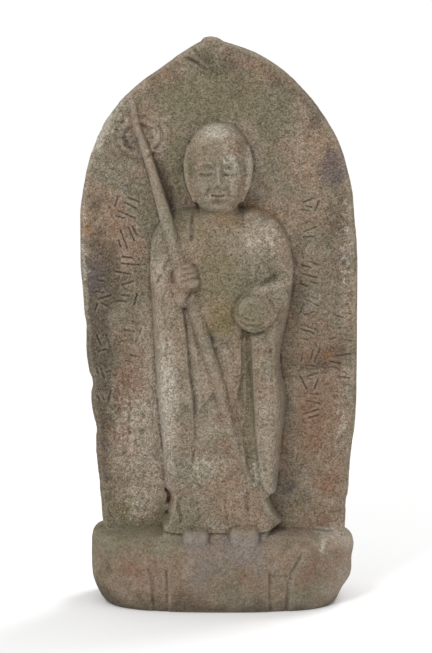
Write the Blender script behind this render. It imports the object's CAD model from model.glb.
"""Weathered stone stele of a standing monk, dressed for rendering.

The block is worked the way a carver would: a plate of stone is given its figure, an oval base and
two feet are added, all of it is melted into one skin, the inscription is cut, and then the weather
gets at it. Lengths inside the carving are millimetres, measured from a point LIFT above the middle
of the underside; meshes are in metres. X runs to the right, Y away from the front and Z up.
"""
from __future__ import annotations

import logging
import math
import random
from dataclasses import dataclass, field
from enum import Enum
from typing import Callable, Sequence

import bmesh
import bpy
import numpy as np
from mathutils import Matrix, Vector

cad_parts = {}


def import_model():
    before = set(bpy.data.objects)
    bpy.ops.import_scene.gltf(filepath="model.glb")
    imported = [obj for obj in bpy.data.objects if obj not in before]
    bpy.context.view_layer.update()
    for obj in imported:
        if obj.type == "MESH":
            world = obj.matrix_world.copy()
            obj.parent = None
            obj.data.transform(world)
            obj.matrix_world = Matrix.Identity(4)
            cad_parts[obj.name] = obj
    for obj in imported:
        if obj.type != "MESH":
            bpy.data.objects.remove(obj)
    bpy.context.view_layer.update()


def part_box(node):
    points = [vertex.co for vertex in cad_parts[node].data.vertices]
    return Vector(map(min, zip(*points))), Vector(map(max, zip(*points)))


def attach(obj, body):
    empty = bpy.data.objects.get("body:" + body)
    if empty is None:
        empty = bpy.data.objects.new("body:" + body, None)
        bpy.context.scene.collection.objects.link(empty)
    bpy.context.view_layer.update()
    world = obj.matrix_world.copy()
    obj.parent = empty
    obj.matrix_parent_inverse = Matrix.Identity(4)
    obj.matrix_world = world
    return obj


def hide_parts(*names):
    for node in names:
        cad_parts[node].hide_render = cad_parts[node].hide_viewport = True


MM = 0.001
LIFT = 2.0
FAR = 99.0  # millimetres, beyond the reach of any relief or groove
NODE = "stone_jizo_stele"
log = logging.getLogger("stele")

Point = tuple[float, float]
Array = np.ndarray


# ------------------------------------------------------------------ drawing and working the face

def ramp(low: float, high: float, at: Array) -> Array:
    """Smooth step from 0 at low to 1 at high."""
    part = np.clip((at - low) / (high - low), 0, 1)
    return part * part * (3 - 2 * part)


def blend(first: Array, second: Array, soft: float) -> Array:
    """The higher of two surfaces, with the corner between them rounded over soft."""
    part = np.clip(0.5 + (first - second) / (2 * soft), 0, 1)
    return first * part + second * (1 - part) + soft * part * (1 - part)


class Line:
    """A smooth line through a few points, open or closed."""

    STEPS = 6

    def __init__(self, points: Sequence[Point], closed: bool = False) -> None:
        """Draw the line.

        Args:
            points: places in millimetres that the line passes through.
            closed: whether it runs back to its first point.
        """
        knots = np.array(list(points) + ([points[0]] if closed else []), float)
        first = knots[-2] if closed else 2 * knots[0] - knots[1]
        last = knots[1] if closed else 2 * knots[-1] - knots[-2]
        knots = np.vstack([first, knots, last])
        path = []
        for before, start, end, after in zip(knots, knots[1:], knots[2:], knots[3:]):
            for t in np.arange(self.STEPS) / self.STEPS:
                path.append(0.5 * (2 * start + (end - before) * t
                                   + (2 * before - 5 * start + 4 * end - after) * t ** 2
                                   + (3 * start - before - 3 * end + after) * t ** 3))
        path.append(knots[-2])
        self.path = np.array(path)

    def at_height(self, z: Array) -> Array:
        """Where an upright line stands at each height."""
        order = np.argsort(self.path[:, 1])
        return np.interp(z, self.path[order, 1], self.path[order, 0])

    def measure(self, x: Array, z: Array) -> tuple[Array, Array, Array]:
        """Measure points against the line.

        Returns:
            distance from the line, how far along it the nearest place is (0 to 1), and the side:
            1 to the left of the line's direction and -1 to the right.
        """
        runs = np.diff(self.path, axis=0)
        lengths = np.maximum(np.hypot(runs[:, 0], runs[:, 1]), 1e-6)
        nearest = np.full(x.shape, 1e9)
        place = np.zeros(x.shape)
        side = np.ones(x.shape)
        done = 0.0
        for (ax, az), (dx, dz), length in zip(self.path, runs, lengths):
            part = np.clip(((x - ax) * dx + (z - az) * dz) / length ** 2, 0, 1)
            away = np.hypot(x - ax - part * dx, z - az - part * dz)
            closer = away < nearest
            place[closer] = (done + part[closer] * length) / lengths.sum()
            side[closer] = np.where(dx * (z - az) - dz * (x - ax) > 0, 1, -1)[closer]
            nearest[closer] = away[closer]
            done += length
        return nearest, place, side

    def depth_inside(self, x: Array, z: Array) -> Array:
        """Distance from a closed line, positive inside it."""
        nearest, _, _ = self.measure(x, z)
        within = np.zeros(x.shape, bool)
        for (ax, az), (bx, bz) in zip(self.path, self.path[1:]):
            if bz != az:
                within ^= ((az > z) != (bz > z)) & (x < ax + (z - az) / (bz - az) * (bx - ax))
        return np.where(within, nearest, -nearest)


@dataclass
class Face:
    """A side of the slab while it is worked: places on it, and how far the stone stands out."""

    x: Array
    z: Array
    relief: Array

    def near(self, points: Sequence[Point], reach: float) -> Array:
        """Which places lie within reach of the points' box."""
        spots = np.array(points, float)
        low, high = spots.min(0) - reach, spots.max(0) + reach
        return ((self.x > low[0]) & (self.x < high[0]) & (self.z > low[1]) & (self.z < high[1]))

    def limb(self, points: Sequence[Point], radii: Sequence[float], crests: Sequence[float],
             soft: float, depth: float | None = None) -> None:
        """Raise a round bar along a line.

        Args:
            points: the line the bar follows.
            radii: its half width at even stations along the line.
            crests: the height of its top at even stations.
            soft: how far its edge melts into what is round it.
            depth: how far it curves down before its sides fall straight; its radius if not given.
        """
        here = self.near(points, max(radii) + soft)
        away, place, _ = Line(points).measure(self.x[here], self.z[here])
        radius = np.interp(place, np.linspace(0, 1, len(radii)), radii)
        crest = np.interp(place, np.linspace(0, 1, len(crests)), crests)
        drop = radius if depth is None else depth
        bar = crest - drop * (1 - np.sqrt(np.clip(1 - (away / radius) ** 2, 0, 1)))
        bar = np.where(away < radius, bar, -FAR)
        self.relief[here] = blend(self.relief[here], bar, soft)

    def dome(self, centre: Point, radii: Point, crest: float, depth: float, soft: float,
             squareness: float = 2.0, turn: float = 0.0) -> None:
        """Raise a dome over an oval.

        Args:
            centre: its middle.
            radii: half its width and half its height.
            crest: the height of its top.
            depth: how far it curves down before its sides fall straight.
            soft: how far its edge melts into what is round it.
            squareness: 2 for an oval, more for a squarer outline.
            turn: how far it leans to the left, in degrees.
        """
        here = self.near([centre], max(radii) + soft + 2)
        across, up = self.turned(here, centre, turn)
        spread = np.abs(across / radii[0]) ** squareness + np.abs(up / radii[1]) ** squareness
        top = crest - depth + depth * np.sqrt(np.clip(1 - spread, 0, 1))
        top = np.where(spread < 1, top, -FAR)
        self.relief[here] = blend(self.relief[here], top, soft)

    def turned(self, here: Array, centre: Point, turn: float) -> tuple[Array, Array]:
        """Places measured from a centre along two turned directions."""
        cos, sin = math.cos(math.radians(turn)), math.sin(math.radians(turn))
        x, z = self.x[here] - centre[0], self.z[here] - centre[1]
        return x * cos + z * sin, z * cos - x * sin

    def cut(self, points: Sequence[Point], width: float, depth: float, fade: float = 0.15) -> None:
        """Cut a soft groove along a line, or raise a fold with a depth below 0.

        Args:
            points: the line it follows.
            width: half the groove's width.
            depth: how deep it is.
            fade: the part of its length over which each end dies out.
        """
        here = self.near(points, width * 3)
        away, place, _ = Line(points).measure(self.x[here], self.z[here])
        ends = ramp(0, fade, place) * ramp(1, 1 - fade, place)
        self.relief[here] -= depth * np.exp(-(away / width) ** 2) * ends

    def cuts(self, *grooves: tuple[object, ...]) -> None:
        """Cut grooves in turn, each given as its line, width, depth and fade."""
        for groove in grooves:
            self.cut(*groove)

    def lap(self, points: Sequence[Point], drop: float, reach: float, soft: float = 1.0,
            fade: float = 0.1) -> None:
        """Let one cloth lie over another: the cloth to the right of the line lies lower.

        Args:
            points: the upper cloth's edge.
            drop: the height of the step.
            reach: how far the lower cloth stays down before it comes up again.
            soft: half the width of the step.
            fade: the part of the length over which each end dies out.
        """
        here = self.near(points, reach * 3)
        away, place, side = Line(points).measure(self.x[here], self.z[here])
        lower = -away * side
        ends = ramp(0, fade, place) * ramp(1, 1 - fade, place)
        step = ramp(-soft, soft, lower) * np.exp(-np.clip(lower, 0, None) / reach)
        self.relief[here] -= drop * step * ends

    def sink(self, outline: Sequence[Point], depth: float, slope: float) -> None:
        """Sink the ground inside an outline, or raise it with a depth below 0.

        Args:
            outline: the closed edge of the hollow.
            depth: how deep it gets.
            slope: the distance from its edge over which it gets there.
        """
        here = self.near(outline, 3)
        within = Line(outline, closed=True).depth_inside(self.x[here], self.z[here])
        self.relief[here] -= depth * ramp(-1, slope, within)

    def bump(self, centre: Point, radii: Point, height: float, turn: float = 0.0) -> None:
        """Swell the ground softly round a place, or dent it with a height below 0."""
        here = self.near([centre], max(radii) * 2.6)
        across, up = self.turned(here, centre, turn)
        self.relief[here] += height * np.exp(-(across / radii[0]) ** 2 - (up / radii[1]) ** 2)


# ------------------------------------------------------------------ the parts of the carving

@dataclass
class Robe:
    """Torso, skirt and the two long sleeves that hang beside them."""

    rim: float = 15.0
    sleeve: float = 38.0
    skirt: float = 29.0
    chest: float = 44.0
    outline: list[Point] = field(default_factory=lambda: [
        (-26, 464), (-42, 462), (-58, 456), (-70, 445), (-77, 430), (-79, 408), (-79, 374),
        (-77, 340), (-75, 306), (-72, 250), (-69, 220), (-66, 191), (-64, 160), (-63, 141),
        (-60.5, 134), (-56, 126), (-58.5, 114), (-60, 104), (-66, 95), (-66, 78), (-60, 66),
        (0, 60), (50, 66), (58, 83), (66, 91), (75, 97), (65.5, 110), (58.5, 126), (67, 134),
        (69, 150), (72, 186), (76, 220), (77, 250), (73, 268), (71, 285), (72, 304), (77, 329),
        (84, 362), (86, 394), (84, 408), (80, 429), (72, 445), (61, 455), (48, 462), (36, 465),
        (26, 464), (0, 468)])
    left_inner: list[Point] = field(default_factory=lambda: [
        (-41, 141), (-38, 152), (-31, 175), (-28, 198), (-27.5, 216), (-29, 245), (-33, 272),
        (-36, 315), (-39, 338), (-41, 360), (-46, 390), (-48, 420), (-46, 455)])
    right_inner: list[Point] = field(default_factory=lambda: [
        (61, 133), (54, 136), (48, 149), (45, 169), (42, 192), (39.5, 215), (38, 244), (37, 274),
        (35.5, 305), (34, 345)])
    hem: list[Point] = field(default_factory=lambda: [
        (-68, 91), (-60, 88.5), (-48, 86.5), (-12, 88), (15, 87.5), (44, 87.5), (58, 89), (66, 93),
        (73, 99)])
    waist: list[Point] = field(default_factory=lambda: [
        (-22, 324), (-12, 321), (-2, 315), (8, 314), (20, 318), (44, 325)])

    def carve(self, face: Face) -> None:
        """Raise the masses of cloth, then cut and lap the folds."""
        x, z = face.x, face.z
        # the rounded edge all round
        within = Line(self.outline, closed=True).depth_inside(x, z)
        rim = self.rim + 12 * ramp(420, 458, z) - 10 * ramp(145, 118, z)
        round_edge = (1 - (1 - np.clip(within / rim, 0, 1)) ** 2.6) ** 0.45
        # chest over skirt
        middle = np.cos(np.clip((x - 4) / 62, -1, 1) * math.pi / 2)
        skirt = self.skirt + 7 * ramp(260, 95, z) + 3.5 * middle
        chest = self.chest - 16 * ramp(412, 470, z) - 10 * np.abs(x / 82) ** 2.4
        chest = chest - 7 * ramp(350, 318, z)
        waist = np.interp(x, *np.array(self.waist, float).T)
        over = ramp(-5, 4, z - waist) * ramp(-29, -21, x) + ramp(345, 366, z) * ramp(-21, -29, x)
        body = skirt + (chest - skirt) * np.clip(over, 0, 1)
        # the sleeves in front of both
        left = self.sleeve + 2.5 - 3.5 * np.clip((x + 60) / 30, -1, 1) ** 2
        on_left = ramp(-0.3, 2.4, Line(self.left_inner).at_height(z) - x) * ramp(142, 176, z)
        on_left *= ramp(425, 395, z)
        body += np.maximum(left - body, 0) * on_left
        right = self.sleeve + 4 - 3 * np.clip((x - 57) / 18, -1, 1) ** 2
        on_right = ramp(-0.3, 2.4, x - Line(self.right_inner).at_height(z))
        on_right *= ramp(126, 136, z) * ramp(366, 336, z)
        body += np.maximum(right - body, 0) * on_right
        face.relief[:] = np.where(within > 0, round_edge * body, 0)
        # upper arms
        face.limb([(-65, 372), (-67, 398), (-65, 420), (-58, 442)], [12, 15, 16, 13],
                  [38, 41, 41, 34], 6)
        face.limb([(58, 440), (67, 420), (73, 395), (74, 376)], [14, 15, 13, 9],
                  [34, 40, 42, 41], 5)
        face.relief[:] = np.where(within > 0, face.relief, 0)
        # a worn outline, a flatter right corner, and what lies under the hem
        uneven = 0.9 + 0.7 * np.sin(z / 11 + x / 30) * np.sin(z / 4.3 + 1)
        face.relief[:] -= uneven * np.exp(-((within + 1.4) / 1.6) ** 2) * ramp(118, 150, z)
        face.relief[:] *= 1 - 0.45 * ramp(52, 78, x) * ramp(120, 96, z)
        hem = np.interp(x, *np.array(self.hem, float).T)
        under = ramp(0.7, -0.7, z - hem) * (within > 0)
        face.relief[:] -= under * (5 - 0.9 * (hem - z))
        self.fold(face)

    def carve_collar(self, face: Face) -> None:
        """Cut the robe's front edges beside the neck."""
        face.cuts(
            ([(-28, 468), (-30.5, 454), (-31, 440), (-31, 424)], 2.0, 5.0, 0.25),
            ([(26, 470), (27, 458), (27.5, 446)], 2.0, 3.8, 0.3),
            ([(-17, 450), (-10, 436), (0, 428), (10, 436), (16, 448)], 2.0, 1.2))

    def fold(self, face: Face) -> None:
        """Cut the folds of the skirt and sleeves."""
        face.sink([(-42, 348), (-33, 348), (-22, 318), (-8, 280), (-4, 258), (-14, 240),
                   (-26, 226), (-29, 250), (-34, 290)], -4.5, 4)
        face.lap(self.left_inner[3:11], 1.2, 7, 2.4)
        face.cuts(
            ([(-39, 345), (-37, 315), (-34, 280), (-30, 248), (-28.5, 225), (-29, 205)], 2.6, 0.7),
            ([(-27, 252), (-26.5, 240), (-27.5, 226)], 2.4, 1.6))
        face.sink([(25, 331), (25, 300), (24, 272), (20, 246), (16, 232), (21, 208), (27, 186),
                   (36, 150), (44, 150), (42, 180), (40.5, 205), (39, 240), (37.5, 280),
                   (36, 331)], 5, 5)
        face.cuts(
            ([(36.5, 318), (36, 292), (37, 262), (39, 235), (41, 205), (43.5, 172), (46, 150),
              (53, 137)], 2.0, 3.0),
            ([(30, 324), (30, 300), (30, 270), (31, 235)], 1.5, -1.6))
        face.lap([(-19, 230), (-21, 255), (-22.5, 278), (-26, 301), (-32, 329)], 2.2, 6, 1.5)
        face.cuts(
            ([(-33, 320), (-29.5, 290), (-26.5, 262), (-25.5, 232)], 2.4, 1.4),
            ([(-10, 326), (-7, 312), (-3.5, 298), (2, 284), (8, 267), (12, 252)], 2.8, 1.2),
            ([(-25, 318), (-18, 298), (-11, 276), (-8, 262)], 2.2, 1.6),
            ([(17, 228), (20, 211), (24, 192), (27, 172)], 2.2, 2.4),
            ([(20, 246), (15, 231), (9, 226)], 1.6, 2.2),
            ([(10, 308), (13, 280), (15, 256)], 4, -1.5),
            ([(-64, 380), (-63, 345), (-60, 300), (-59, 250), (-57, 205)], 2.4, 1.7),
            ([(-52, 330), (-49, 280), (-46, 230)], 5, -1.2),
            ([(57, 330), (60, 300), (61, 262), (62, 225)], 2.4, 1.6),
            ([(60, 306), (59, 299)], 1.5, 3),
            ([(-55, 411), (-60, 402), (-64, 392)], 1.5, 3.0, 0.4),
            ([(-64, 393), (-67, 389), (-71, 381), (-74, 377)], 1.6, 4.2, 0.3),
            ([(-50, 398), (-54, 392), (-55, 378)], 2.4, 1.6, 0.3),
            ([(-45, 132), (-47, 118), (-44, 106), (-46, 97)], 2.0, 3.6),
            ([(-24, 128), (-23, 112), (-25, 98)], 2.6, 1.6),
            ([(7, 130), (9, 103)], 2.0, 1.8),
            ([(33, 140), (34, 98)], 2.6, 1.8),
            ([(46, 126), (50, 110), (52, 98)], 2.6, 1.4))
        face.lap([(31, 112), (30, 130), (26, 143), (17, 151), (8, 145), (3, 138)], 2.2, 8, 2.5)
        face.cuts(
            ([(-63, 136), (-59.5, 131), (-57, 124), (-60, 114)], 2.4, 8.0, 0.2),
            ([(-62, 109), (-60.5, 102), (-63, 95)], 2.0, 6.0, 0.3),
            ([(-60, 136), (-54, 133), (-47, 136), (-40, 142)], 1.8, 2.4, 0.3))
        for x, z, wide, high, rise in ((-56, 146, 7, 8, 3.0), (-46, 156, 8, 7, 1.6),
                                       (-35, 150, 8, 6, 1.6), (-58, 166, 6, 8, 1.5),
                                       (-12, 168, 14, 9, 1.4), (18, 160, 9, 9, 1.6),
                                       (-20, 138, 7, 7, 1.2), (-4, 148, 6, 5, 1.0),
                                       (-28, 166, 6, 5, -1.4), (2, 176, 6, 6, -1.2),
                                       (-8, 156, 5, 4, -1.2), (-40, 168, 5, 5, -1.2)):
            face.bump((x, z), (wide, high), rise)


@dataclass
class Head:
    """A shaved head with long ears and a calm, worn face."""

    centre: float = -1.0
    chin: float = 459.0
    crown: float = 564.0
    half_width: float = 36.0
    crest: float = 51.0

    def carve(self, face: Face) -> None:
        """Raise neck, skull, jaw and ears, then shape the features."""
        mid, height = self.centre, self.crown - self.chin
        middle = (self.chin + self.crown) / 2
        face.limb([(mid, 434), (mid, 486)], [22, 23], [29, 38], 8)
        face.dome((mid, middle + 0.07 * height), (self.half_width, 0.43 * height), self.crest, 40,
                  2.0, 2.2)
        face.dome((mid, middle - 0.11 * height), (self.half_width * 0.87, 0.39 * height),
                  self.crest - 3, 20, 3.0, 2.2)
        for side in (-1, 1):
            ear = [(mid + side * 33, middle + 24), (mid + side * 35, middle + 8),
                   (mid + side * 33.5, middle - 14), (mid + side * 26.5, middle - 36)]
            face.limb(ear, [3.0, 5.0, 4.6, 3.0], [26, 31, 33, 32], 5.0)
            face.cut([(mid + side * 30, middle + 14), (mid + side * 30.5, middle),
                      (mid + side * 28, middle - 22)], 2.4, 1.8)
        self.features(face, mid, height)

    def features(self, face: Face, mid: float, height: float) -> None:
        """Brow over lowered lids near half the head's height, nose and mouth below them."""
        brow = self.chin + 0.535 * height
        eye = self.chin + 0.485 * height
        nose = self.chin + 0.31 * height
        mouth = self.chin + 0.215 * height
        for side in (-1, 1):
            face.bump((mid + side * 13, eye + 1), (9, 6.5), -6.5)
            face.bump((mid + side * 14, eye - 0.5), (7.0, 4.2), 6.0)
            face.cut([(mid + side * 5.5, eye - 3), (mid + side * 14, eye - 5.2),
                      (mid + side * 23, eye - 3)], 1.5, 4.2)
            face.cut([(mid + side * 4, brow + 1), (mid + side * 13, brow + 4),
                      (mid + side * 25, brow)], 2.8, -3.0)
            face.bump((mid + side * 18, nose + 1), (9, 9), 3.0)
            face.bump((mid + side * 5.2, nose + 2), (3.2, 3.0), 4.0)
            face.cut([(mid + side * 10, nose), (mid + side * 14, mouth - 2)], 2.2, 2.6)
        face.cut([(mid, brow + 3), (mid, nose + 9), (mid, nose + 1)], 4.0, -8.0, 0.25)
        face.bump((mid, nose + 3), (4.6, 3.8), 4.0)
        face.bump((mid, mouth), (11, 5.5), 3.4)
        face.cut([(mid - 10, mouth + 1.2), (mid, mouth - 0.4), (mid + 10, mouth + 1.2)], 1.6, 5.4,
                 0.2)
        face.bump((mid, mouth - 7), (8, 3), -3.4)
        face.bump((mid, self.chin + 8), (10, 6), 3.2)


@dataclass
class Staff:
    """The monk's staff, from its worn ring at the slab down across the skirt."""

    path: list[Point] = field(default_factory=lambda: [
        (-99.5, 586), (-96, 564), (-88, 540), (-77.5, 509), (-63.5, 463), (-51, 420), (-39, 384),
        (-28, 350), (-14, 304), (0, 258), (11, 213), (21, 178), (25, 162)])
    radii: tuple[float, ...] = (4.2, 4.8, 5.6, 6.8, 7.8, 8.4, 8.2, 7.8, 7.6, 7.6, 7.4, 7.2, 6.0)
    crests: tuple[float, ...] = (3.5, 7.5, 12, 25, 42, 46.5, 47, 46, 43.5, 41, 39, 36.5, 32)
    ring: Point = (-93.0, 546.0)
    ring_radii: Point = (21.0, 20.0)

    def carve(self, face: Face) -> None:
        """Raise the shaft, undercut its shadow side and mark the ring."""
        face.cut([(-76, 528), (-62, 492), (-49, 458)], 5.0, 4.0)
        face.limb(self.path, self.radii, self.crests, 1.8)
        self.carve_ring(face)

    def carve_ring(self, face: Face) -> None:
        """The ring with small curls inside; its right half is worn almost away."""
        here = face.near([self.ring], 34)
        x, z = face.x[here] - self.ring[0], face.z[here] - self.ring[1]
        around = np.hypot(x / self.ring_radii[0], z / self.ring_radii[1])
        clear = 0.8 + 0.2 * ramp(8, -14, x)
        band = 2.4 * np.exp(-((around - 0.98) / 0.17) ** 2)
        lines = 1.2 * np.exp(-((around - 1.25) / 0.09) ** 2)
        lines += 2.2 * np.exp(-((around - 0.7) / 0.12) ** 2)
        on_shaft = np.exp(-((x + 0.32 * z) / 6) ** 2)
        face.relief[here] += clear * (band - lines) * (1 - on_shaft)
        for row in range(4):
            z = 564 - 9 * row
            face.cut([(-125 + row, z + 5), (-117, z - 1), (-109 + row, z + 1)], 1.6, 2.2)
        face.cuts(
            ([(-80, 554), (-75, 557), (-71, 551), (-74, 545), (-79, 547)], 1.8, 2.2, 0.05),
            ([(-71, 562), (-65.5, 553), (-65, 543), (-70, 536), (-78, 533)], 1.6, 2.6, 0.1),
            ([(-84, 529), (-77, 531), (-70, 530), (-62, 532)], 1.8, -2.4),
            ([(-84, 524), (-76, 526), (-66, 526)], 1.4, 1.6))


@dataclass
class Hands:
    """The right hand round the staff, and the left forearm with the jewel in its palm."""

    jewel: Point = (38.5, 352.5)
    jewel_radius: float = 16.5
    palm: Point = (40.2, 347.2)
    palm_radius: float = 23.5

    def carve_jewel_arm(self, face: Face) -> None:
        """Hollow the robe above the forearm, then raise arm, fingers and jewel."""
        face.sink([(74, 398), (75, 389), (66, 382), (52, 376), (42, 372), (47, 381), (58, 391),
                   (67, 400)], 3.4, 8)
        face.cuts(
            ([(56, 398), (61, 391), (67, 385)], 2.2, 2.0, 0.3),
            ([(11, 383), (14, 387)], 1.6, 3.4, 0.3))
        face.limb([(64, 364), (56, 360), (45, 350)], [16.5, 20, 22], [46, 52, 55], 2.0, 8)
        face.lap([(82, 372), (75, 380.5), (64, 383), (53, 379), (41, 372), (28, 365.5), (19, 358),
                  (15, 346)], 2.4, 10, 0.8, 0.16)
        face.cut([(80, 372), (73, 379), (64, 381.5), (53, 377)], 2.0, -2.0, 0.3)
        face.dome(self.palm, (self.palm_radius, self.palm_radius), 56.5, 15, 0.8)
        face.dome(self.jewel, (self.jewel_radius, self.jewel_radius - 1.5), 58.5, 7, 1.6)
        face.cuts(
            ([(50, 366), (58, 362), (63.5, 353), (62, 340), (55, 330)], 1.5, 2.6, 0.3),
            ([(23, 342), (27, 336), (34, 333), (46, 333), (53, 338)], 1.5, 3.8, 0.3),
            ([(28, 353), (27, 345), (33, 340), (40, 340), (47, 345)], 1.4, 2.6, 0.35),
            ([(31, 330), (43, 327.5), (55, 334)], 1.4, 2.4, 0.35),
            ([(16.5, 356), (15.5, 345), (20, 333), (28, 325.5), (41, 321.5), (55, 327)], 1.8, 2.6))

    def carve_fist(self, face: Face) -> None:
        """Four fingers closed round the shaft over a narrow wrist."""
        face.dome((-42, 370), (11.5, 18), 50, 12, 3.0, 2.0, 8)
        face.dome((-37.5, 387), (13.5, 18), 56, 14, 2.0, 2.7, 12)
        face.dome((-30, 381), (8, 5.5), 56.5, 8, 1.6, 2.0, 18)
        for finger in range(3):
            low = 384.5 + 6.8 * finger
            face.cut([(-48, low - 1.5), (-37, low + 1), (-22, low + 5)], 1.7, 3.2, 0.35)
        face.cuts(
            ([(-54, 398), (-53, 385), (-51, 372), (-45, 356)], 2.2, 1.6, 0.3),
            ([(-22, 376), (-31, 372.5), (-35, 364), (-41, 354)], 2.0, 3.6))
        face.bump((-41, 351), (3.5, 5), -3)


@dataclass
class Damage:
    """Chips, flakes and tool marks on the slab and figure."""

    bites: list[tuple[int, float, float, float]] = field(default_factory=lambda: [
        (-1, 261, 9, 2.4), (-1, 206, 8, 1.4), (-1, 330, 7, 1.0), (-1, 296, 14, -1.0),
        (-1, 232, 12, -0.8), (1, 296, 30, -1.4), (1, 224, 30, -1.4), (1, 118, 8, 1.0),
        (-1, 628, 10, 1.2), (-1, 118, 8, 0.8), (-1, 145, 7, 0.8)])
    scoops: int = 230
    seed: int = 4

    def nibble(self, side: Array, z: Array) -> Array:
        """How much of the slab's edge is lost at each height, on the given side."""
        lost = 0.4 * np.sin(z / 23 + side) + 0.25 * np.sin(z / 9.1 + 2 * side)
        for where, height, reach, depth in self.bites:
            lost = lost + depth * np.exp(-((z - height) / reach) ** 4) * (side * where > 0)
        return lost

    def hew(self, back: Face) -> None:
        """Dress the back roughly, with long scoops of the pick."""
        chance = random.Random(self.seed)
        for _ in range(self.scoops):
            middle = (chance.uniform(-160, 160), chance.uniform(80, 660))
            back.bump(middle, (chance.uniform(6, 11), chance.uniform(12, 24)),
                      -chance.uniform(0.8, 2.4), chance.uniform(12, 48))

    def carve(self, face: Face) -> None:
        """Flake the peak, crack its edge and leave faint chisel hatching over the head."""
        face.sink([(-36, 650), (-30, 664), (-10, 670), (12, 660), (7, 652), (-3, 642), (-4, 628),
                   (-11, 621), (-19, 633), (-30, 643)], 1.6, 6)
        face.cuts(
            ([(-42, 637), (-33, 636), (-26, 632), (-18, 627), (-9, 622)], 1.3, 4.6, 0.3),
            ([(-30, 652), (-27, 646), (-25, 640)], 1.8, 2.0))
        for row in range(9):
            z = 600 - 4.4 * row
            face.cut([(-32 + 3 * (row % 3), z), (0, z + 3), (30 - 2 * (row % 4), z + 5)], 1.3, 0.5)
        face.cuts(
            ([(-106, 250), (-104, 205), (-107, 160)], 2.5, 1.4),
            ([(-88, 240), (-90, 200), (-87, 150), (-89, 118)], 3.0, 1.2),
            ([(-118, 260), (-119, 215)], 2.5, 1.2))
        for x, z, size in ((-66, 246, 5), (-67, 206, 4), (-70, 226, 3), (-95, 186, 6),
                           (-110, 176, 5), (-82, 132, 5), (-96, 108, 4), (-121, 196, 4)):
            face.bump((x, z), (size * 0.7, size), -2.2)


@dataclass
class Slab:
    """The boat-shaped plate behind the figure."""

    height: float
    half_width: float
    foot: float = 20.0
    widest: float = 400.0
    shoulder: float = 280.0
    narrowing: float = 19.5
    face_y: float = -30.0
    lean: float = -8.0
    rim_thickness: float = 38.0
    back_crown: float = 46.0
    taper: float = 0.03
    arris: float = 5.0
    tip_width: float = 12.5
    tip_drop: float = 6.8
    arch_drop: float = 2.35
    columns: int = 380
    rows: int = 640
    damage: Damage = field(default_factory=Damage)

    def half_width_at(self, z: Array) -> Array:
        """Half the width: a pointed arch over sides that narrow to the foot."""
        down = np.clip((self.height - self.arch_drop - z) / self.shoulder, 0, 1)
        arch = self.half_width * (1 - (1 - down) ** 3.3) ** 0.78
        tip_up = np.clip(1 + (z - self.height) / self.tip_drop, 0, 1)
        arch = np.maximum(arch, self.tip_width * np.sqrt(1 - tip_up ** 2) * (tip_up > 0))
        return arch - self.narrowing * np.clip((self.widest - z) / 320, 0, 2) ** 1.45

    def centre_at(self, z: Array) -> Array:
        """The slab's middle drifts to the right towards the foot."""
        peak = 3.7 * np.exp(-((z - 626) / 18) ** 2) - 7.8 * ramp(642, self.height, z)
        return -2.2 + 8 * ramp(500, 200, z) + peak

    def face_at(self, z: Array) -> Array:
        """The plain face behind the figure, which leans forward a little."""
        return self.face_y + self.lean * (z / self.height) ** 2

    def build(self, carve: Callable[[Face], None]) -> bmesh.types.BMesh:
        """Draw a grid out into a plate, carve its front and roughen its back.

        Args:
            carve: works the front once its places are known.
        """
        cage = bmesh.new()
        bmesh.ops.create_grid(cage, x_segments=self.columns, y_segments=self.rows, size=1)
        drawn = bmesh.ops.extrude_face_region(cage, geom=cage.faces[:])["geom"]
        far_side = [item for item in drawn if isinstance(item, bmesh.types.BMVert)]
        bmesh.ops.translate(cage, verts=far_side, vec=(0, 0, 1))
        bmesh.ops.recalc_face_normals(cage, faces=cage.faces[:])
        places = coordinates(cage)
        across, up, behind = places.T
        z = self.foot + (self.height - self.foot) * (up + 1) / 2
        half = self.half_width_at(z)
        lost = self.damage.nibble(np.sign(across), z) * np.abs(across) ** 8
        x = self.centre_at(z) + across * (half * (1 - self.taper * behind) - lost)
        inset = np.minimum(half * (1 - np.abs(across)), self.height - z + 2)
        worn = self.arris * 0.6 * (1 - ramp(0, self.arris, inset))
        front = behind < 0.5
        face = Face(x[front], z[front], np.zeros(int(front.sum())))
        carve(face)
        y = np.empty(len(z))
        y[front] = self.face_at(face.z) - face.relief + worn[front]
        hidden = ~front
        back = Face(x[hidden], z[hidden], np.zeros(int(hidden.sum())))
        self.damage.hew(back)
        y[hidden] = self.back_at(back.z, across[hidden]) - worn[hidden] + back.relief
        return moved(cage, np.column_stack([x, y, z]))

    def back_at(self, z: Array, across: Array) -> Array:
        """The rough back swells towards the foot."""
        crown = self.back_crown * (1 - 0.75 * (z / self.height) ** 1.5)
        crown = crown * (1 - np.abs(across) ** 2.6) * (1 - ramp(0.75, 1, z / self.height))
        return self.face_at(z) + self.rim_thickness - 9 * ramp(300, self.height, z) + crown


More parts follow.
